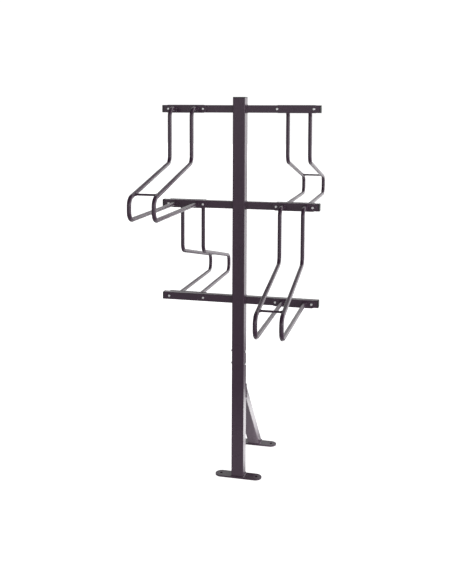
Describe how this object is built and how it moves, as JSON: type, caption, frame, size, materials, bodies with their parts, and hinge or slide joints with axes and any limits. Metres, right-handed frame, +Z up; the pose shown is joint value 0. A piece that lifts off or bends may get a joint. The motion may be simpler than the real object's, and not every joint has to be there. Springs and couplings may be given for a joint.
{
  "type": "floor bike stand",
  "caption": "Floor stand with a post, crossbars and bent-tube holders at two heights, front and back, that park bicycles by one wheel.",
  "frame": {"origin": "on the floor at the centre of the front foot plate's underside, straight below the middle of the post", "axes": "+Z up along the post, +Y to the back, where the strut is, +X along the crossbars to the right as seen from the front"},
  "size_m": [0.646, 1.114, 1.5593],
  "materials": {
    "steel_paint": "satin dark charcoal powder coat with a faint aubergine cast",
    "zinc_fasteners": "bright zinc plate",
    "black_plastic": "matt moulded black plastic"
  },
  "bodies": {
    "root": {"bottom_bar": "steel_paint", "bottom_bar_left_cap": "black_plastic", "bottom_bar_left_inner_bolt": "zinc_fasteners", "bottom_bar_left_inner_nut": "zinc_fasteners", "bottom_bar_left_outer_bolt": "zinc_fasteners", "bottom_bar_left_outer_nut": "zinc_fasteners", "bottom_bar_right_cap": "black_plastic", "bottom_bar_right_inner_bolt": "zinc_fasteners", "bottom_bar_right_inner_nut": "zinc_fasteners", "bottom_bar_right_outer_bolt": "zinc_fasteners", "bottom_bar_right_outer_nut": "zinc_fasteners", "front_foot_plate": "steel_paint", "lower_left_bottom_plate": "steel_paint", "lower_left_cross_rod": "steel_paint", "lower_left_inner_tube": "steel_paint", "lower_left_outer_tube": "steel_paint", "lower_left_top_plate": "steel_paint", "lower_post": "steel_paint", "lower_right_bottom_plate": "steel_paint", "lower_right_cross_rod": "steel_paint", "lower_right_inner_tube": "steel_paint", "lower_right_outer_tube": "steel_paint", "lower_right_top_plate": "steel_paint", "middle_bar": "steel_paint", "middle_bar_left_cap": "black_plastic", "middle_bar_left_inner_bolt": "zinc_fasteners", "middle_bar_left_inner_nut": "zinc_fasteners", "middle_bar_left_outer_bolt": "zinc_fasteners", "middle_bar_left_outer_nut": "zinc_fasteners", "middle_bar_right_cap": "black_plastic", "middle_bar_right_inner_bolt": "zinc_fasteners", "middle_bar_right_inner_nut": "zinc_fasteners", "middle_bar_right_outer_bolt": "zinc_fasteners", "middle_bar_right_outer_nut": "zinc_fasteners", "post_cap": "black_plastic", "rear_foot_plate": "steel_paint", "rear_strut": "steel_paint", "splice_sleeve": "steel_paint", "top_bar": "steel_paint", "top_bar_left_cap": "black_plastic", "top_bar_left_inner_bolt": "zinc_fasteners", "top_bar_left_inner_nut": "zinc_fasteners", "top_bar_left_outer_bolt": "zinc_fasteners", "top_bar_left_outer_nut": "zinc_fasteners", "top_bar_right_cap": "black_plastic", "top_bar_right_inner_bolt": "zinc_fasteners", "top_bar_right_inner_nut": "zinc_fasteners", "top_bar_right_outer_bolt": "zinc_fasteners", "top_bar_right_outer_nut": "zinc_fasteners", "upper_left_bottom_plate": "steel_paint", "upper_left_cross_rod": "steel_paint", "upper_left_inner_tube": "steel_paint", "upper_left_outer_tube": "steel_paint", "upper_left_top_plate": "steel_paint", "upper_post": "steel_paint", "upper_right_bottom_plate": "steel_paint", "upper_right_cross_rod": "steel_paint", "upper_right_inner_tube": "steel_paint", "upper_right_outer_tube": "steel_paint", "upper_right_top_plate": "steel_paint"}
  },
  "joints": []
}
